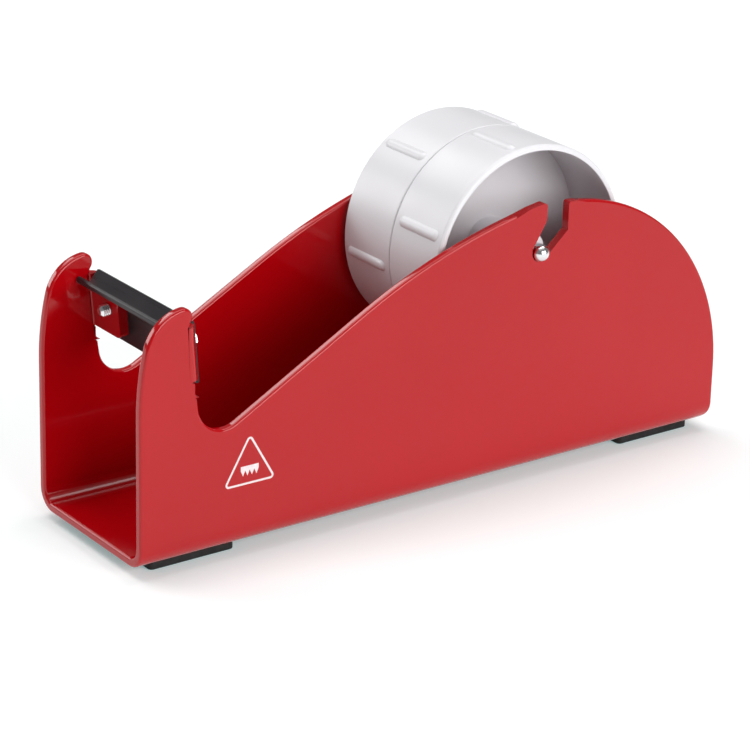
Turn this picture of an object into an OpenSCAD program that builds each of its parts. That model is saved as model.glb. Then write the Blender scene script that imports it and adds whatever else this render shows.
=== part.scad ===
// Desk tape dispenser: a steel channel body, a bolted tear-off blade and a hub for
// 50 mm tape on 76 mm cores, which hangs on a loose axle in two open slots.
// X runs from the blade end (-X) to the hub end (+X), Y across the body, Z up.
// The origin is on the table, at the centre of the object's footprint.

/* [Body] */
// Length of the body from its front edge to its rear edge
body_l = 224; // [212:1:240]
// Outside width of the body
body_w = 60; // [58:0.5:66]
// Thickness of the body's sheet steel
sheet_t = 3; // [2.5:0.1:3.2]
// Outside radius of the two long bends under the walls
bend_r = 7; // [5:0.5:9]
// Radius of the walls' lower rear corners
heel_r = 4; // [2:0.5:8]
// Radius of the large arc over the hub end
rear_arc_r = 68.8; // [64:0.2:70]
// Height of that arc's top above the table
rear_top_z = 92.1; // [90:0.1:94]
// Climb of the straight part of the walls' top edge, in degrees
slope_a = 29; // [28:0.5:30]
// Distance from the front edge to the end of that straight part
slope_end_x = 79.2; // [78:0.2:81]
// Height of the end of that straight part
slope_end_z = 69.4; // [67:0.2:70]
// Radius of the gentle curve from there to the axle slot
crest_r = 210; // [205:1:215]
// Height of the dip between the blade and the slope
dip_z = 43; // [41:0.2:44]
// Radius of that dip
dip_r = 9; // [8.5:0.1:10]
// Forward lean of the edge between the dip and the blade tab, in degrees
throat_a = 13; // [8:0.5:14]

/* [Ears] */
// Height of the ears' rounded tops
ear_top_z = 83.7; // [82:0.1:85]
// Radius of the long curve up the front of each ear
ear_front_r = 88; // [84:1:92]
// Radius of each ear's top
ear_top_r = 14.3; // [13.5:0.1:15]
// Radius of the nose at the back of each ear's top
ear_nose_r = 3; // [2.8:0.1:3.2]
// Distance from the front edge to the back of that nose
ear_nose_x = 18.1; // [17.9:0.1:18.3]

/* [Blade tabs] */
// Forward lean of the tabs and the blade, in degrees
lean_a = 5; // [4:0.5:6]
// Distance from the front edge to the tabs' bend line at their foot
tab_x = 17.8; // [17.6:0.1:18]
// Height of the tabs' lower edge
tab_z = 60.2; // [60:0.1:61]
// Height of each tab's free end along its lean
tab_h = 12.6; // [12:0.1:13]
// Height of each tab's bend along its lean
shoulder_h = 16.9; // [16.6:0.1:17]
// Reach of each tab inwards from the wall's outside face
tab_reach = 18.7; // [17:0.1:20]
// Inside radius of each tab's bend
tab_bend_r = 0.5; // [0.3:0.1:0.8]
// Radius of each tab's free corners
tab_corner_r = 2; // [1:0.1:3]
// Width of the relief cut under each tab
relief_w = 3.1; // [2.8:0.1:3.2]

/* [Blade] */
// Thickness of the blade's sheet
blade_t = 1.1; // [0.8:0.1:1.3]
// Height of the blade's mounting plate along its lean
blade_h = 20.4; // [20:0.1:21]
// How far that plate reaches below the tabs
blade_drop = 2.5; // [2:0.1:2.8]
// Depth of the blade's top flange
flange_d = 9.1; // [8.6:0.1:9.4]
// Droop of that flange below a right angle to the plate, in degrees
droop_a = 4.5; // [3:0.5:5]
// Height of the sharpened lip at the flange's front edge
lip_h = 1.9; // [1.7:0.1:2.2]
// Gap between the blade's ends and the walls
blade_gap = 0.6; // [0.6:0.1:1.2]
// How far each end of the flange is cut back behind the lip
flange_cut = 5.8; // [4:0.2:7]

/* [Blade bolts] */
// Thread diameter of the blade bolts
bolt_d = 4; // [3.5:0.5:5]
// Pitch of the thread rings
bolt_pitch = 0.7; // [0.7:0.1:1]
// Distance across the flats of the bolt heads
bolt_af = 7; // [6.5:0.5:8]
// Height of the bolt heads
bolt_head_h = 2.8; // [2.4:0.1:3.5]
// How far the bolts stand out of the tabs' front faces
bolt_tip = 3; // [1:0.1:3.2]
// Distance of the bolts from the body's centre plane
bolt_y = 17.8; // [17:0.1:18.4]
// Height of the bolts above the tabs' lower edge, along the lean
bolt_up = 8; // [7:0.1:8]
// Thickness of the washers under the bolt heads
washer_t = 0.8; // [0.5:0.1:1]
// Outside diameter of those washers
washer_d = 9; // [8.4:0.1:9.4]

/* [Axle] */
// Diameter of the axle rod
axle_d = 5.6; // [5:0.1:5.6]
// Distance of the axle from the body's centre, towards the rear
axle_x = 34.8; // [34.6:0.1:35]
// Height of the slots' closed ends
pocket_z = 77.4; // [77:0.1:77.6]
// Radius of the slots' closed ends
pocket_r = 3.3; // [3.1:0.1:3.4]
// Clearance under the axle where it rests in the slots
axle_gap = 0.05; // [0.02:0.01:0.1]
// How far the axle's domed ends stand out of the walls
axle_out = 2.9; // [2:0.1:3.2]
// Diameter of the push-on rings
ring_d = 9.8; // [9.4:0.1:10.4]
// Thickness of the push-on rings
ring_t = 1; // [0.8:0.1:1.2]
// Gap between each ring and the wall beside it
ring_gap = 1.7; // [1:0.1:1.8]

/* [Slots] */
// Width of the slots' open mouths
mouth_w = 8.65; // [8.6:0.05:8.8]
// Distance from the pocket's centre to the middle of the mouth
mouth_x = 6.42; // [6.4:0.02:6.5]
// Height where the front edge of each slot turns towards its pocket
front_knee_z = 87.2; // [87:0.1:88]
// Height where the rear edge of each slot turns towards its pocket
rear_knee_z = 82.8; // [82:0.1:83]
// Radius of the front knee
knee_r = 4; // [2:0.1:5]
// Radius of the corners at the mouth
mouth_r = 1.2; // [0.8:0.1:1.6]

/* [Hub] */
// Diameter of the hub's drum
hub_d = 74; // [72:0.1:74]
// Diameter over the hub's ribs, for a 76 mm core
rib_d = 75.8; // [75:0.1:76]
// Width of the hub
hub_w = 50; // [48:0.5:50]
// Wall thickness of the hub's rims
rim_t = 2; // [1.6:0.1:2.4]
// Thickness of each half's web
web_t = 2.2; // [1.8:0.1:3]
// Diameter of the hub's bore, which is loose on the axle
bore_d = 12; // [11:0.1:12.4]
// Outside diameter of the hub's central sleeve
sleeve_d = 14.8; // [14.8:0.1:16]
// How far the sleeve stops short of the rim
sleeve_short = 17; // [12:0.5:20]
// Number of ribs around each half
rib_n = 6; // [4:1:8]
// Width of each rib where it leaves the drum
rib_w = 3.6; // [3:0.1:4]
// Length of each rib
rib_l = 20.2; // [16:0.1:21]
// Distance from the seam between the halves to the middle of each rib
rib_y = 12.4; // [12:0.1:13]
// Angle of the near half's first rib above the horizontal, in degrees
rib_near_a = 40.5; // [0:0.5:60]
// Angle of the far half's first rib above the horizontal, in degrees
rib_far_a = 7; // [0:0.5:60]
// Inside diameter of the ring that keeps the halves in line
spigot_d = 40; // [30:1:60]

/* [Feet] */
// Height of the rubber feet
foot_h = 3; // [2:0.1:4]
// Length of each foot along the body
foot_l = 30; // [24:0.5:34]
// Width of each foot across the body
foot_w = 47.6; // [40:0.1:50]
// Distance from the front edge to the front foot
foot_front_x = 7; // [5:0.1:10]
// Distance from the rear edge to the rear foot
foot_rear_x = 5; // [5:0.1:10]
// Corner radius of the feet
foot_r = 1.5; // [0.5:0.1:3]

/* [Hidden] */
NEAR = -1;
FAR = 1;
cut = 200;
$fn = 96;
red = [0.75, 0.14, 0.15];
black = [0.14, 0.14, 0.15];
steel = [0.78, 0.79, 0.81];
white = [0.93, 0.93, 0.94];
rubber = [0.07, 0.07, 0.07];

front_x = -body_l / 2;
rear_x = body_l / 2;
wall_y = body_w / 2;
crest_x = front_x + slope_end_x + crest_r * sin(slope_a);
crest_z = slope_end_z - crest_r * cos(slope_a);
tab_outer_r = tab_bend_r + sheet_t;
tab_foot_x = front_x + tab_x;
tab_root = 0.7;
tab_lap = 0.3;
relief_drop = 3.5;
relief_in = 1;
bolt_r = bolt_d / 2;
thread_depth = 0.43;
bolt_hole_r = bolt_r + 0.04;
blade_w = body_w - 2 * sheet_t - 2 * blade_gap;
blade_back = tab_outer_r + blade_t;
blade_top = blade_h - blade_drop;
axle_r = axle_d / 2;
axle_z = pocket_z - pocket_r + axle_r + axle_gap;
groove_r = axle_r - 0.3;
ring_y = wall_y - sheet_t - ring_gap - ring_t / 2;
hub_r = hub_d / 2;
bore_r = bore_d / 2;
hub_z = axle_z + axle_r + axle_gap - bore_r;
rim_bevel = 0.5;
spigot_h = 1;
spigot_t = 1.6;
spigot_gap = 0.1;
rib_out = (rib_d - hub_d) / 2;
rib_r = (pow(rib_w / 2, 2) + pow(rib_out, 2)) / (2 * rib_out);

// Points along an arc about (x, z) from angle a to angle b
function arc(x, z, r, a, b, n) =
    [for (i = [0:n]) [x + r * cos(a + (b - a) * i / n), z + r * sin(a + (b - a) * i / n)]];

// Where the tangent from point p touches the circle of radius r about c; side is 1 or -1
function tangent(p, c, r, side) =
    let (d = norm(c - p), a = atan2(c[1] - p[1], c[0] - p[0]) + side * asin(r / d),
         l = sqrt(d * d - r * r))
    p + l * [cos(a), sin(a)];

// The wall's [x, z] at a place in the tabs' leaning frame
function in_tab_frame(x, z) =
    [tab_foot_x + x * cos(lean_a) - z * sin(lean_a), tab_z + x * sin(lean_a) + z * cos(lean_a)];

// Outline of a wall without its slot, counter-clockwise from the lower front corner
module wall_outline() {
    mouth_a = acos((axle_x + mouth_x - crest_x) / crest_r);
    dip_cz = dip_z + dip_r;
    dip_x = front_x + slope_end_x
        + ((dip_cz - slope_end_z) * cos(slope_a) - dip_r) / sin(slope_a);
    throat_x = dip_x - dip_r * cos(throat_a);
    throat_z = dip_cz - dip_r * sin(throat_a);
    relief_r = relief_w / 2;
    relief_z = tab_z - relief_drop;
    relief_x = tab_foot_x + relief_in + relief_r;
    corner_r = 1;
    corner_z = relief_z - relief_r - corner_r;
    corner_x = throat_x - (corner_z - throat_z) * tan(throat_a) - corner_r / cos(throat_a);
    top_x = front_x + 16.4;
    top_z = ear_top_z - ear_top_r;
    front_cx = front_x + ear_front_r;
    front_cz = top_z - sqrt(pow(ear_front_r - ear_top_r, 2) - pow(front_cx - top_x, 2));
    nose_x = front_x + ear_nose_x - ear_nose_r;
    nose_z = top_z + sqrt(pow(ear_top_r - ear_nose_r, 2) - pow(nose_x - top_x, 2));
    nose_a = atan2(nose_z - top_z, nose_x - top_x);
    front_a = atan2(top_z - front_cz, top_x - front_cx);
    polygon(concat(
        [[front_x, foot_h]],
        arc(rear_x - heel_r, foot_h + heel_r, heel_r, -90, 0, 8),
        arc(rear_x - rear_arc_r, rear_top_z - rear_arc_r, rear_arc_r, 0, 90, 44),
        arc(crest_x, crest_z, crest_r, mouth_a, 90 + slope_a, 14),
        arc(dip_x, dip_cz, dip_r, slope_a - 90, throat_a - 180, 24),
        arc(corner_x, corner_z, corner_r, throat_a, 90, 4),
        arc(relief_x, relief_z, relief_r, -90, -180, 8),
        [[relief_x - relief_r, tab_z - tab_root]],
        [in_tab_frame(-tab_root / 2, tab_lap / 2)],
        [in_tab_frame(-tab_root / 2, shoulder_h - tab_lap)],
        arc(nose_x, nose_z, ear_nose_r, -60, nose_a, 18),
        arc(top_x, top_z, ear_top_r, nose_a, front_a, 16),
        arc(front_cx, front_cz, ear_front_r, front_a, 180, 8)));
}

// The open slot that the axle drops into
module slot_outline() {
    pocket = [axle_x, pocket_z];
    x_front = axle_x + mouth_x - mouth_w / 2;
    x_rear = axle_x + mouth_x + mouth_w / 2;
    to_front = tangent([x_front, front_knee_z], pocket, pocket_r, -1);
    to_rear = tangent([x_rear, rear_knee_z], pocket, pocket_r, 1);
    turn_a = atan2(front_knee_z - to_front[1], x_front - to_front[0]) - 90;
    knee_up = knee_r * tan(-turn_a / 2);
    front_lip_x = x_front - mouth_r;
    front_lip_z = crest_z + sqrt(pow(crest_r, 2) - pow(front_lip_x - crest_x, 2)) - mouth_r;
    rear_lip_z = rear_top_z + 0.1 - mouth_r;
    polygon(concat(
        arc(x_rear + mouth_r, rear_lip_z, mouth_r, 90, 180, 6),
        [[x_rear, rear_knee_z], to_rear, to_front],
        arc(x_front - knee_r, front_knee_z + knee_up, knee_r, turn_a, 0, 6),
        arc(front_lip_x, front_lip_z, mouth_r, 0, 90, 6),
        [[front_lip_x, rear_top_z + 5], [x_rear + mouth_r, rear_top_z + 5]]));
    translate(pocket) circle(pocket_r);
}

// Half of the channel's section, with its bend, from the centre plane to one wall
module channel_section(w, r, z) {
    translate([-w / 2, z + r]) square([w, cut]);
    translate([-w / 2 + r, z]) square([w - 2 * r, cut]);
    for (y = [-w / 2 + r, w / 2 - r]) translate([y, z + r]) circle(r);
}

// Moves into the leaning frame of the tabs: z along the lean, y from the centre plane
module on_tabs() {
    translate([tab_foot_x, 0, tab_z]) rotate([0, -lean_a, 0]) children();
}

// Moves to a blade bolt's axis and turns +Z to point backwards along it
module on_bolt(side) {
    on_tabs() translate([0, side * bolt_y, bolt_up]) rotate([0, 90, 0]) children();
}

module tab(side) {
    inner_y = wall_y - tab_outer_r;
    on_tabs() mirror([0, side < 0 ? 1 : 0, 0]) difference() {
        union() {
            linear_extrude(shoulder_h) {
                translate([-tab_root, wall_y - sheet_t]) square([tab_root, sheet_t]);
                intersection() {
                    translate([0, inner_y]) difference() {
                        circle(tab_outer_r);
                        circle(tab_bend_r);
                    }
                    translate([0, inner_y]) square(tab_outer_r + 1);
                }
            }
            translate([tab_bend_r, 0, 0]) rotate([90, 0, 90]) linear_extrude(sheet_t)
                tab_outline(inner_y);
        }
        translate([0, bolt_y, bolt_up]) rotate([0, 90, 0])
            cylinder(r = bolt_hole_r, h = 4 * sheet_t, center = true);
    }
}

// A tab's flat face, from its rounded free end to its bend, below the blade's flange
module tab_outline(inner_y) {
    end_y = wall_y - tab_reach;
    c = tab_corner_r;
    polygon(concat(
        arc(end_y + c, tab_h - c, c, 90, 180, 8),
        arc(end_y + c, c, c, 180, 270, 8),
        [[inner_y, 0], [inner_y, shoulder_h - 1.2], [bolt_y + 1.5, tab_h]]));
}

module body() {
    color(red) union() {
        intersection() {
            rotate([90, 0, 90]) linear_extrude(body_l, center = true) difference() {
                channel_section(body_w, bend_r, foot_h);
                channel_section(body_w - 2 * sheet_t, bend_r - sheet_t, foot_h + sheet_t);
            }
            rotate([90, 0, 0]) linear_extrude(body_w + 2, center = true) difference() {
                wall_outline();
                slot_outline();
            }
        }
        tab(NEAR);
        tab(FAR);
    }
}

// Section of the blade, folded from one strip: plate, top flange and sharpened lip
module blade_section() {
    fold_r = 1.8;
    lip_r = 0.9;
    fold = [blade_back - fold_r, blade_top - fold_r];
    fold_a = 90 + droop_a;
    along = [-cos(droop_a), -sin(droop_a)];
    up = [-sin(droop_a), cos(droop_a)];
    lip = fold + (fold_r - lip_r) * up + (flange_d - fold_r - lip_r) * along;
    lip_x = lip[0] - lip_r;
    lip_z = lip[1] + lip_r - lip_h;
    under = fold + (fold_r - blade_t) * up;
    inner_z = under[1] + (lip_x + blade_t - under[0]) * tan(droop_a);
    polygon(concat(
        [[tab_outer_r, -blade_drop], [blade_back, -blade_drop]],
        arc(fold[0], fold[1], fold_r, 0, fold_a, 12),
        arc(lip[0], lip[1], lip_r, fold_a, 180, 8),
        [[lip_x, lip_z], [lip_x + blade_t, lip_z + blade_t / 2], [lip_x + blade_t, inner_z]],
        arc(fold[0], fold[1], fold_r - blade_t, fold_a, 0, 8)));
}

module blade() {
    front = blade_back - flange_d + blade_t + 0.1;
    rear = tab_outer_r - 0.6;
    color(black) on_tabs() difference() {
        rotate([90, 0, 0]) linear_extrude(blade_w, center = true) blade_section();
        for (side = [NEAR, FAR]) {
            mirror([0, side < 0 ? 1 : 0, 0]) translate([0, blade_w / 2, blade_top - 3 * blade_t])
                linear_extrude(4 * blade_t)
                polygon([[front, 1], [front, -flange_cut], [rear, 0], [rear, 1]]);
            translate([tab_outer_r + blade_t / 2, side * bolt_y, bolt_up]) rotate([0, 90, 0])
                cylinder(r = bolt_r + 0.2, h = 2 * blade_t, center = true);
        }
    }
}

// A hexagon-head bolt from the blade's back through the tab; its thread is plain rings
module blade_bolt(side) {
    tip = tab_bend_r - bolt_tip;
    head = blade_back + washer_t;
    turns = floor((head - tip - 1) / bolt_pitch);
    root_r = bolt_r - thread_depth;
    color(steel) on_bolt(side) union() {
        rotate_extrude() polygon(concat(
            [[0, tip], [root_r - thread_depth, tip]],
            [for (i = [0:turns - 1], step = [0, 1])
                [step == 0 ? root_r : bolt_r, tip + 0.4 + (i + step / 2) * bolt_pitch]],
            [[root_r, tip + 0.4 + turns * bolt_pitch], [root_r, head + 1], [0, head + 1]]));
        translate([0, 0, head]) bolt_head();
    }
}

// A hexagon head with its outer corners turned down
module bolt_head() {
    corner_r = bolt_af / sqrt(3);
    chamfer_h = 0.4;
    intersection() {
        rotate(90) cylinder(r = corner_r, h = bolt_head_h, $fn = 6);
        rotate_extrude() polygon([[0, 0], [corner_r + 1, 0], [corner_r + 1, bolt_head_h - 2 * chamfer_h],
            [corner_r, bolt_head_h - chamfer_h], [bolt_af / 2 - 0.1, bolt_head_h], [0, bolt_head_h]]);
    }
}

module blade_washer(side) {
    color(steel) on_bolt(side) translate([0, 0, blade_back]) difference() {
        cylinder(d = washer_d, h = washer_t);
        translate([0, 0, -1]) cylinder(r = bolt_r + 0.15, h = washer_t + 2);
    }
}

module axle() {
    groove_w = ring_t + 0.1;
    dome_y = wall_y + axle_out - axle_r;
    half = concat(
        [[axle_r, 0], [axle_r, ring_y - groove_w / 2], [groove_r, ring_y - groove_w / 2],
         [groove_r, ring_y + groove_w / 2], [axle_r, ring_y + groove_w / 2]],
        arc(0, dome_y, axle_r, 0, 90, 12));
    color(steel) translate([axle_x, 0, axle_z]) rotate([90, 0, 0]) for (end = [0, 1])
        mirror([0, 0, end]) rotate_extrude() polygon(concat(half, [[0, 0]]));
}

module axle_ring(side) {
    color(steel) translate([axle_x, side * ring_y, axle_z]) rotate([90, 0, 0]) difference() {
        cylinder(d = ring_d, h = ring_t, center = true);
        cylinder(r = groove_r + 0.05, h = ring_t + 1, center = true);
    }
}

// Section of one hub half: z runs out from the seam between the halves
module hub_section() {
    rim = hub_w / 2;
    difference() {
        union() {
            square([hub_r, web_t]);
            translate([hub_r - rim_t, 0]) square([rim_t, rim]);
            square([sleeve_d / 2, rim - sleeve_short]);
        }
        translate([-1, -1]) square([bore_r + 1, cut]);
        translate([hub_r, 0]) rotate(45) square(rim_bevel, center = true);
        translate([hub_r, rim]) rotate(45) square(2 * rim_bevel, center = true);
    }
}

// A hub half as it lies on its seam, with its first rib at angle a
module hub_half(a) {
    rotate_extrude($fn = 180) hub_section();
    difference() {
        for (i = [0:rib_n - 1]) rotate(a + i * 360 / rib_n)
            translate([rib_d / 2 - rib_r, 0, rib_y]) rib();
        translate([0, 0, -1]) cylinder(r = hub_r - rim_t / 2, h = hub_w + 2, $fn = 180);
    }
}

// A rib is the outer sliver of a round bar with round ends
module rib() {
    bar_l = rib_l - rib_w;
    cylinder(r = rib_r, h = bar_l, center = true, $fn = 48);
    for (end = [-1, 1]) translate([0, 0, end * bar_l / 2]) sphere(rib_r, $fn = 48);
}

// The ring on the near half that keeps the two halves in line
module spigot(gap) {
    difference() {
        cylinder(d = spigot_d + 2 * spigot_t + 2 * gap, h = 2 * spigot_h + gap, center = true);
        cylinder(d = spigot_d - 2 * gap, h = 3 * spigot_h, center = true);
    }
}

module on_hub() {
    translate([axle_x, 0, hub_z]) children();
}

module hub_half_near() {
    color(white) on_hub() rotate([90, 0, 0]) union() {
        hub_half(rib_near_a);
        spigot(0);
    }
}

module hub_half_far() {
    color(white) on_hub() mirror([0, 1, 0]) rotate([90, 0, 0]) difference() {
        hub_half(rib_far_a);
        spigot(spigot_gap);
    }
}

// A rubber foot whose lower front edge line starts at x
module foot(x) {
    color(rubber) translate([x, -foot_w / 2, 0]) linear_extrude(foot_h) {
        translate([foot_r, 0]) square([foot_l - 2 * foot_r, foot_w]);
        translate([0, foot_r]) square([foot_l, foot_w - 2 * foot_r]);
        for (u = [foot_r, foot_l - foot_r], v = [foot_r, foot_w - foot_r])
            translate([u, v]) circle(foot_r);
    }
}

body();
blade();
blade_bolt(NEAR);  // blade_bolt_near
blade_bolt(FAR);  // blade_bolt_far
blade_washer(NEAR);  // blade_washer_near
blade_washer(FAR);  // blade_washer_far
axle();
axle_ring(NEAR);  // axle_ring_near
axle_ring(FAR);  // axle_ring_far
hub_half_near();
hub_half_far();
foot(front_x + foot_front_x);  // foot_front
foot(rear_x - foot_rear_x - foot_l);  // foot_rear
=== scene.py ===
"""Looks of the desk tape dispenser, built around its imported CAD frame. All sizes are in metres."""

import math

import bmesh
import bpy
from mathutils import Matrix, Vector


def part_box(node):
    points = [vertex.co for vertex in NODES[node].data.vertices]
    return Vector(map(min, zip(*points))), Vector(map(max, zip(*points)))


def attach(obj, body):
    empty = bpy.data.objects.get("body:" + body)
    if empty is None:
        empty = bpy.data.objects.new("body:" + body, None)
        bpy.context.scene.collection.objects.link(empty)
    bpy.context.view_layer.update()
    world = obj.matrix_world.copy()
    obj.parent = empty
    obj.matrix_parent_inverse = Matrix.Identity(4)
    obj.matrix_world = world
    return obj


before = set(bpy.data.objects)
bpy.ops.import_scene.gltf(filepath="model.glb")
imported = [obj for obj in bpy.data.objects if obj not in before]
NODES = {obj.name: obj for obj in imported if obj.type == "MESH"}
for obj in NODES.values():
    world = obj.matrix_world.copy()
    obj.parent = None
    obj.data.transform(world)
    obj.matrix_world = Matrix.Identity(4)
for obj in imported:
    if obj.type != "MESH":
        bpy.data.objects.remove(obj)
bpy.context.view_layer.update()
BODY_LOW, BODY_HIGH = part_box("body")
BLADE_LOW, BLADE_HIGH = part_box("blade")
AXLE_LOW, AXLE_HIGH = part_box("axle")

MM = 0.001

# The camera looks at its target from that direction and distance.
CAMERA_AZIMUTH = math.radians(-36.03)
CAMERA_ELEVATION = math.radians(19.94)
CAMERA_ROLL = math.radians(1.45)
CAMERA_DISTANCE = 0.933
CAMERA_TARGET = Vector((-0.0072, 0.0, 0.0600))
CAMERA_LENS_MM = 141.76
CAMERA_SHIFT_Y = -0.1

WORLD_STRENGTH = 0.20
FLOOR_HALF_WIDTH = 6.0

# Noise textures are used between these values, where most of their output lies.
NOISE_LOW = 0.3
NOISE_HIGH = 0.7

# Outward edges that turn by more than the first angle are rounded. Edges that still turn by more
# than the second one after that stay sharp in the shading.
ROUNDED_ANGLE = math.radians(35)
SHARP_ANGLE = math.radians(38)

# Facets that turn by less than this angle are joined, and so are points within this distance.
FLAT_ANGLE = math.radians(0.4)
MERGE_DISTANCE = 0.004 * MM

scene = bpy.context.scene


# ---------------------------------------------------------------- camera and studio

def make_camera():
    """The camera, rolled a little about its own line of sight."""
    sin_a, cos_a = math.sin(CAMERA_AZIMUTH), math.cos(CAMERA_AZIMUTH)
    sin_e, cos_e = math.sin(CAMERA_ELEVATION), math.cos(CAMERA_ELEVATION)
    back = Vector((sin_a * cos_e, -cos_a * cos_e, sin_e))
    right = Vector((0, 0, 1)).cross(back)
    right.normalize()
    up = back.cross(right)
    rolled_right = right * math.cos(CAMERA_ROLL) + up * math.sin(CAMERA_ROLL)
    rolled_up = up * math.cos(CAMERA_ROLL) - right * math.sin(CAMERA_ROLL)
    data = bpy.data.cameras.new("camera")
    data.lens = CAMERA_LENS_MM
    data.sensor_width = 36
    data.shift_y = CAMERA_SHIFT_Y
    data.clip_start = 0.01
    data.clip_end = 30
    camera = bpy.data.objects.new("camera", data)
    rotation = Matrix((rolled_right, rolled_up, back)).transposed().to_4x4()
    camera.matrix_world = Matrix.Translation(CAMERA_TARGET + back * CAMERA_DISTANCE) @ rotation
    scene.collection.objects.link(camera)
    scene.camera = camera


def make_world():
    """A plain white surround, shown with the standard colour transform."""
    world = bpy.data.worlds.new("studio")
    world.use_nodes = True
    background = world.node_tree.nodes["Background"]
    background.inputs["Color"].default_value = (1.0, 1.0, 1.0, 1.0)
    background.inputs["Strength"].default_value = WORLD_STRENGTH
    scene.world = world
    scene.view_settings.view_transform = "Standard"


def make_floor():
    """A wide floor at the feet, which takes the contact shadow."""
    edge = FLOOR_HALF_WIDTH
    corners = [(-edge, -edge, 0), (edge, -edge, 0), (edge, edge, 0), (-edge, edge, 0)]
    mesh = bpy.data.meshes.new("floor")
    mesh.from_pydata(corners, [], [(0, 1, 2, 3)])
    mesh.materials.append(floor_white())
    floor = bpy.data.objects.new("floor", mesh)
    scene.collection.objects.link(floor)


def area_light(name, place, aim, size, power):
    """A softbox of that size and power at place, facing aim."""
    data = bpy.data.lights.new(name, "AREA")
    data.shape = "RECTANGLE"
    data.size, data.size_y = size
    data.energy = power
    light = bpy.data.objects.new(name, data)
    light.location = place
    direction = Vector(aim) - Vector(place)
    light.rotation_euler = direction.to_track_quat("-Z", "Y").to_euler()
    scene.collection.objects.link(light)


def make_lights():
    """A broad overhead light, a front light, a top light, and two that catch the edges from behind."""
    area_light("overhead", place=(0.0, 0.2, 2.2), aim=(0, 0, 0), size=(3.0, 3.0), power=10)
    area_light("front", place=(0.3, -2.5, 1.0), aim=(0, 0, 0.05), size=(2.4, 1.4), power=57)
    area_light("top", place=(0.15, 0.2, 1.5), aim=(0.1, 0, 0.05), size=(1.8, 0.7), power=12)
    area_light("back_left", place=(-1.35, 1.95, 0.75), aim=(0, 0, 0.08), size=(1.0, 0.9), power=14)
    area_light("back_high", place=(-0.35, 1.9, 1.75), aim=(0, 0, 0.08), size=(1.4, 0.5), power=10)


# ---------------------------------------------------------------- materials

def new_material(name):
    """A material with its node tree and its shader."""
    material = bpy.data.materials.new(name)
    material.use_nodes = True
    tree = material.node_tree
    return material, tree, tree.nodes["Principled BSDF"]


def noise(tree, scale, detail=3.0, roughness=0.5, stretch=(1, 1, 1)):
    """The output of a noise texture in the object's own coordinates, with scale in features per metre."""
    coordinates = tree.nodes.new("ShaderNodeTexCoord")
    mapping = tree.nodes.new("ShaderNodeMapping")
    mapping.inputs["Scale"].default_value = stretch
    texture = tree.nodes.new("ShaderNodeTexNoise")
    texture.inputs["Scale"].default_value = scale
    texture.inputs["Detail"].default_value = detail
    texture.inputs["Roughness"].default_value = roughness
    tree.links.new(coordinates.outputs["Object"], mapping.inputs["Vector"])
    tree.links.new(mapping.outputs["Vector"], texture.inputs["Vector"])
    return texture.outputs["Fac"]


def vary_color(tree, shader, source, dark, light, start=NOISE_LOW):
    """Blends the base colour from dark to light as source goes from start up."""
    node = tree.nodes.new("ShaderNodeValToRGB")
    first, last = node.color_ramp.elements
    first.position = start
    first.color = (*dark, 1)
    last.position = NOISE_HIGH
    last.color = (*light, 1)
    tree.links.new(source, node.inputs["Fac"])
    tree.links.new(node.outputs["Color"], shader.inputs["Base Color"])


def vary_roughness(tree, shader, source, low, high):
    """Spreads the roughness from low to high over the usual values of source."""
    node = tree.nodes.new("ShaderNodeMapRange")
    node.inputs["From Min"].default_value = NOISE_LOW
    node.inputs["From Max"].default_value = NOISE_HIGH
    node.inputs["To Min"].default_value = low
    node.inputs["To Max"].default_value = high
    tree.links.new(source, node.inputs["Value"])
    tree.links.new(node.outputs["Result"], shader.inputs["Roughness"])


def bump(tree, shader, source, height, strength):
    """Raises and lowers the surface's shading by up to that height, as source says."""
    node = tree.nodes.new("ShaderNodeBump")
    node.inputs["Strength"].default_value = strength
    node.inputs["Distance"].default_value = height
    tree.links.new(source, node.inputs["Height"])
    tree.links.new(node.outputs["Normal"], shader.inputs["Normal"])


def floor_white():
    """A pale, slightly red floor. Its faint blue-green glow evens that out to white."""
    material, tree, shader = new_material("floor_white")
    shader.inputs["Base Color"].default_value = (0.92, 0.80, 0.80, 1)
    shader.inputs["Roughness"].default_value = 0.9
    shader.inputs["Specular IOR Level"].default_value = 0.0
    shader.inputs["Emission Color"].default_value = (0.40, 1, 1, 1)
    shader.inputs["Emission Strength"].default_value = 0.26
    return material


def red_coat():
    """Glossy powder coat: an even red with a faint orange peel."""
    material, tree, shader = new_material("red_powder_coat")
    shader.inputs["Specular IOR Level"].default_value = 0.45
    drift = noise(tree, scale=14, detail=2)
    vary_color(tree, shader, drift, dark=(0.40, 0.0008, 0.0035), light=(0.43, 0.0012, 0.0045))
    vary_roughness(tree, shader, noise(tree, scale=60), low=0.05, high=0.09)
    bump(tree, shader, noise(tree, scale=500, detail=2), height=0.01 * MM, strength=0.3)
    return material


def black_finish():
    """Satin black on spring steel, with faint drawing lines along the blade."""
    material, tree, shader = new_material("satin_black_steel")
    shader.inputs["Specular IOR Level"].default_value = 0.35
    lines = noise(tree, scale=900, detail=3, roughness=0.6, stretch=(1, 0.03, 1))
    blotches = noise(tree, scale=90, detail=4)
    vary_color(tree, shader, blotches, dark=(0.008, 0.006, 0.008), light=(0.014, 0.011, 0.013), start=0.35)
    vary_roughness(tree, shader, lines, low=0.26, high=0.36)
    bump(tree, shader, lines, height=0.01 * MM, strength=0.3)
    return material


def bright_steel():
    """Bright zinc plate over turned steel."""
    material, tree, shader = new_material("bright_zinc_steel")
    shader.inputs["Metallic"].default_value = 1.0
    plating = noise(tree, scale=250, detail=3)
    vary_color(tree, shader, plating, dark=(0.74, 0.75, 0.77), light=(0.83, 0.83, 0.84))
    vary_roughness(tree, shader, noise(tree, scale=600, detail=3), low=0.12, high=0.2)
    bump(tree, shader, noise(tree, scale=900, detail=2), height=0.004 * MM, strength=0.2)
    return material


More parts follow.
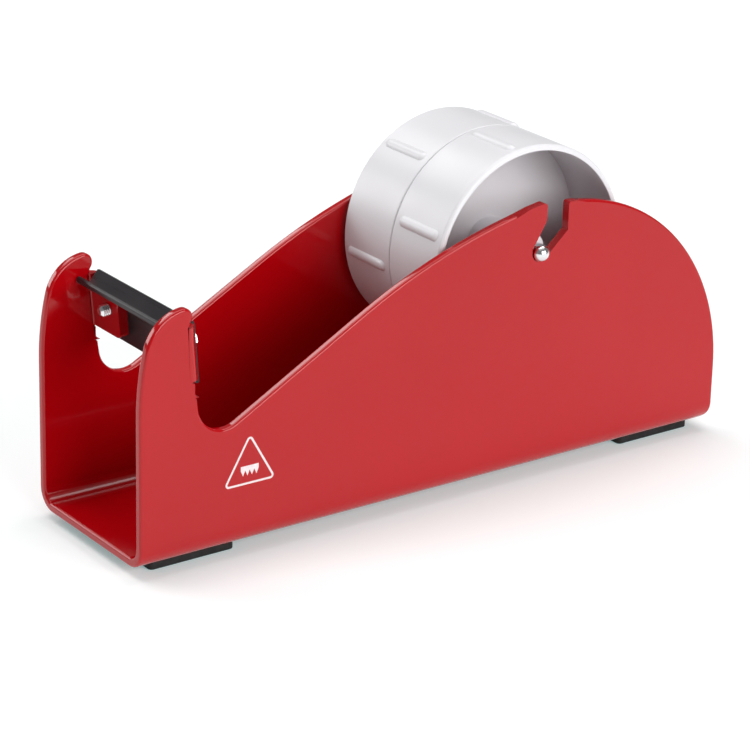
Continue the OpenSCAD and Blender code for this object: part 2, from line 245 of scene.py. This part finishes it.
def white_plastic():
    """Moulded white plastic, glossy, with a faint moulding haze."""
    material, tree, shader = new_material("white_moulded_plastic")
    haze = noise(tree, scale=30, detail=1)
    vary_color(tree, shader, haze, dark=(0.73, 0.72, 0.745), light=(0.76, 0.75, 0.775))
    vary_roughness(tree, shader, noise(tree, scale=70, detail=1), low=0.30, high=0.36)
    bump(tree, shader, noise(tree, scale=700, detail=1), height=0.004 * MM, strength=0.3)
    return material


def black_rubber():
    """Matt black rubber with a fine grain."""
    material, tree, shader = new_material("black_rubber")
    dust = noise(tree, scale=300, detail=5)
    vary_color(tree, shader, dust, dark=(0.004, 0.003, 0.003), light=(0.010, 0.008, 0.008), start=0.35)
    vary_roughness(tree, shader, noise(tree, scale=900, detail=3), low=0.65, high=0.85)
    bump(tree, shader, noise(tree, scale=1800, detail=4), height=0.06 * MM, strength=0.5)
    return material


def white_print():
    """Thin white screen print."""
    material, tree, shader = new_material("white_print")
    ink_cover = noise(tree, scale=800, detail=4)
    vary_color(tree, shader, ink_cover, dark=(0.74, 0.62, 0.64), light=(0.84, 0.74, 0.75))
    vary_roughness(tree, shader, noise(tree, scale=900, detail=3), low=0.35, high=0.5)
    return material


# ---------------------------------------------------------------- shape finish of the CAD nodes

def new_group(name):
    """A geometry node group with its input and output nodes."""
    group = bpy.data.node_groups.new(name, "GeometryNodeTree")
    for way in ("INPUT", "OUTPUT"):
        group.interface.new_socket("Geometry", in_out=way, socket_type="NodeSocketGeometry")
    return group, group.nodes.new("NodeGroupInput"), group.nodes.new("NodeGroupOutput")


def compare_angle(group, kind, operation, angle):
    """Whether the angle of that kind at an edge is, as the operation says, past the given one."""
    angles = group.nodes.new("GeometryNodeInputMeshEdgeAngle")
    compare = group.nodes.new("FunctionNodeCompare")
    compare.data_type = "FLOAT"
    compare.operation = operation
    compare.inputs[1].default_value = angle
    group.links.new(angles.outputs[kind], compare.inputs[0])
    return compare.outputs[0]


def inside_zone(group, low, high):
    """Whether a point lies in the box between those corners."""
    position = group.nodes.new("GeometryNodeInputPosition")
    offset = group.nodes.new("ShaderNodeVectorMath")
    offset.operation = "SUBTRACT"
    offset.inputs[1].default_value = (low + high) / 2
    distance = group.nodes.new("ShaderNodeVectorMath")
    distance.operation = "ABSOLUTE"
    compare = group.nodes.new("FunctionNodeCompare")
    compare.data_type = "VECTOR"
    compare.mode = "ELEMENT"
    compare.operation = "LESS_THAN"
    first_vector, second_vector = compare.inputs[4], compare.inputs[5]
    second_vector.default_value = (high - low) / 2
    group.links.new(position.outputs[0], offset.inputs[0])
    group.links.new(offset.outputs[0], distance.inputs[0])
    group.links.new(distance.outputs[0], first_vector)
    return compare.outputs[0]


def mark_edges_group(sharp_zones=()):
    """Geometry nodes that mark the outward edges for the bevel modifier, but for those in the zones."""
    group, start, end = new_group("mark_edges")
    weight = compare_angle(group, "Signed Angle", "GREATER_THAN", ROUNDED_ANGLE)
    for low, high in sharp_zones:
        outside = group.nodes.new("ShaderNodeMath")
        outside.operation = "SUBTRACT"
        outside.use_clamp = True
        group.links.new(weight, outside.inputs[0])
        group.links.new(inside_zone(group, low, high), outside.inputs[1])
        weight = outside.outputs[0]
    store = group.nodes.new("GeometryNodeStoreNamedAttribute")
    store.data_type = "FLOAT"
    store.domain = "EDGE"
    store.inputs["Name"].default_value = "bevel_weight_edge"
    group.links.new(weight, store.inputs["Value"])
    group.links.new(start.outputs[0], store.inputs["Geometry"])
    group.links.new(store.outputs[0], end.inputs[0])
    return group


def join_facets_group():
    """Geometry nodes that join the facets of an imported part and drop its stored normals."""
    group, start, end = new_group("join_facets")
    drop = group.nodes.new("GeometryNodeRemoveAttribute")
    drop.inputs["Name"].default_value = "custom_normal"
    merge = group.nodes.new("GeometryNodeMergeByDistance")
    merge.inputs["Distance"].default_value = MERGE_DISTANCE
    smooth_faces = group.nodes.new("GeometryNodeSetShadeSmooth")
    smooth_faces.domain = "FACE"
    smooth_edges = group.nodes.new("GeometryNodeSetShadeSmooth")
    smooth_edges.domain = "EDGE"
    chain = [start, drop, merge, smooth_faces, smooth_edges, end]
    for one, other in zip(chain, chain[1:]):
        group.links.new(one.outputs[0], other.inputs[0])
    return group


def keep_sharp_group():
    """Geometry nodes that shade smoothly over the gentler edges only."""
    group, start, end = new_group("keep_sharp")
    gentle = compare_angle(group, "Unsigned Angle", "LESS_THAN", SHARP_ANGLE)
    smooth = group.nodes.new("GeometryNodeSetShadeSmooth")
    smooth.domain = "EDGE"
    group.links.new(gentle, smooth.inputs["Shade Smooth"])
    group.links.new(start.outputs[0], smooth.inputs[0])
    group.links.new(smooth.outputs[0], end.inputs[0])
    return group


def zone_across_body(low_x, high_x, low_z, high_z):
    """The low and high corners of a box that reaches 1 mm past both walls."""
    return Vector((low_x, BODY_LOW.y - MM, low_z)), Vector((high_x, BODY_HIGH.y + MM, high_z))


# The body's edges stay sharp around the tabs and in the slots, where they lie too close to round.
TAB_ZONE = zone_across_body(
    low_x=BLADE_HIGH.x - 8 * MM,
    high_x=BLADE_HIGH.x + 3 * MM,
    low_z=BLADE_LOW.z - 4 * MM,
    high_z=BLADE_HIGH.z,
)
SLOT_ZONE = zone_across_body(
    low_x=AXLE_LOW.x - 5 * MM,
    high_x=AXLE_HIGH.x + 12 * MM,
    low_z=AXLE_LOW.z - 5 * MM,
    high_z=AXLE_HIGH.z + 30 * MM,
)

JOIN_FACETS = join_facets_group()
KEEP_SHARP = keep_sharp_group()
MARK_EDGES = mark_edges_group()
MARK_BODY_EDGES = mark_edges_group((TAB_ZONE, SLOT_ZONE))


def finish_node(name, material, edge_radius=0.0, segments=1, marks_group=MARK_EDGES):
    """Rounds a CAD node's edges with modifiers, and gives it its material."""
    node = NODES[name]
    node.data.materials.clear()
    node.data.materials.append(material)
    clean = node.modifiers.new("clean", "NODES")
    clean.node_group = JOIN_FACETS
    flatten = node.modifiers.new("flatten", "DECIMATE")
    flatten.decimate_type = "DISSOLVE"
    flatten.angle_limit = FLAT_ANGLE
    if edge_radius > 0:
        marks = node.modifiers.new("marks", "NODES")
        marks.node_group = marks_group
        bevel = node.modifiers.new("edges", "BEVEL")
        bevel.width = edge_radius
        bevel.segments = segments
        bevel.limit_method = "WEIGHT"
        bevel.use_clamp_overlap = False
        bevel.miter_outer = "MITER_ARC"
        bevel.harden_normals = False
    sharp = node.modifiers.new("sharp", "NODES")
    sharp.node_group = KEEP_SHARP
    weighted = node.modifiers.new("normals", "WEIGHTED_NORMAL")
    weighted.mode = "FACE_AREA"
    weighted.weight = 60
    weighted.keep_sharp = True


# ---------------------------------------------------------------- extra pieces

def arc_points(center, radius, start, end, count):
    """The points that split an arc into that many equal steps, ends included."""
    points = []
    for i in range(count + 1):
        angle = start + i * (end - start) / count
        points.append((center[0] + radius * math.cos(angle), center[1] + radius * math.sin(angle)))
    return points


def rounded_triangle(center, reach, corner_radius):
    """Outline of an upright triangle whose rounded corners' centres lie at reach from its centre."""
    steps = 6
    half_sweep = math.radians(60)
    points = []
    for i in range(3):
        middle = math.radians(90 + 120 * i)
        corner = (center[0] + reach * math.cos(middle), center[1] + reach * math.sin(middle))
        points += arc_points(corner, corner_radius, middle - half_sweep, middle + half_sweep, steps)
    return points


def saw_bar(center, teeth=4):
    """Outline of a bar with saw teeth along its lower edge."""
    pitch = 1.6 * MM
    left = center[0] - teeth * pitch / 2
    top = center[1] + 0.6 * MM
    root = center[1] - 0.8 * MM
    tip = center[1] - 2.6 * MM
    points = [(left + teeth * pitch, top), (left, top), (left, root)]
    for i in range(teeth):
        points.append((left + (i + 0.5) * pitch, tip))
        points.append((left + (i + 1) * pitch, root))
    return points


def print_mark(material):
    """A plain printed mark on the near wall: a triangle with a saw-edged bar in it."""
    ink = 0.02 * MM
    corner_reach = 8.6 * MM
    outer_radius = 1.15 * MM
    inner_radius = 0.5 * MM
    center = (BODY_LOW.x + 38.2 * MM, BODY_LOW.z + 25.9 * MM)
    mesh = bmesh.new()

    def place(outline):
        return [mesh.verts.new((x, BODY_LOW.y - ink, z)) for x, z in outline]

    outer = place(rounded_triangle(center, corner_reach, outer_radius))
    inner = place(rounded_triangle(center, corner_reach, inner_radius))
    for i in range(len(outer)):
        j = (i + 1) % len(outer)
        mesh.faces.new((outer[i], outer[j], inner[j], inner[i]))
    mesh.faces.new(place(saw_bar(center)))
    bmesh.ops.recalc_face_normals(mesh, faces=mesh.faces)
    data = bpy.data.meshes.new("printed_mark")
    mesh.to_mesh(data)
    mesh.free()
    data.materials.append(material)
    mark = bpy.data.objects.new("printed_mark", data)
    scene.collection.objects.link(mark)
    thick = mark.modifiers.new("ink", "SOLIDIFY")
    thick.thickness = ink
    thick.offset = 0
    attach(mark, "stand")


# ---------------------------------------------------------------- the object

make_camera()
make_world()
make_floor()
make_lights()

red = red_coat()
black = black_finish()
steel = bright_steel()
white = white_plastic()
rubber = black_rubber()

finish_node("body", red, 0.9 * MM, 5, MARK_BODY_EDGES)
finish_node("blade", black, 0.2 * MM, 2)
for side in ("near", "far"):
    finish_node(f"blade_bolt_{side}", steel, 0.05 * MM, 1)
    finish_node(f"blade_washer_{side}", steel, 0.15 * MM, 2)
    finish_node(f"axle_ring_{side}", white, 0.15 * MM, 2)
    finish_node(f"hub_half_{side}", white, 0.3 * MM, 3)
finish_node("axle", steel)
for end in ("front", "rear"):
    finish_node(f"foot_{end}", rubber, 0.4 * MM, 3)
print_mark(white_print())
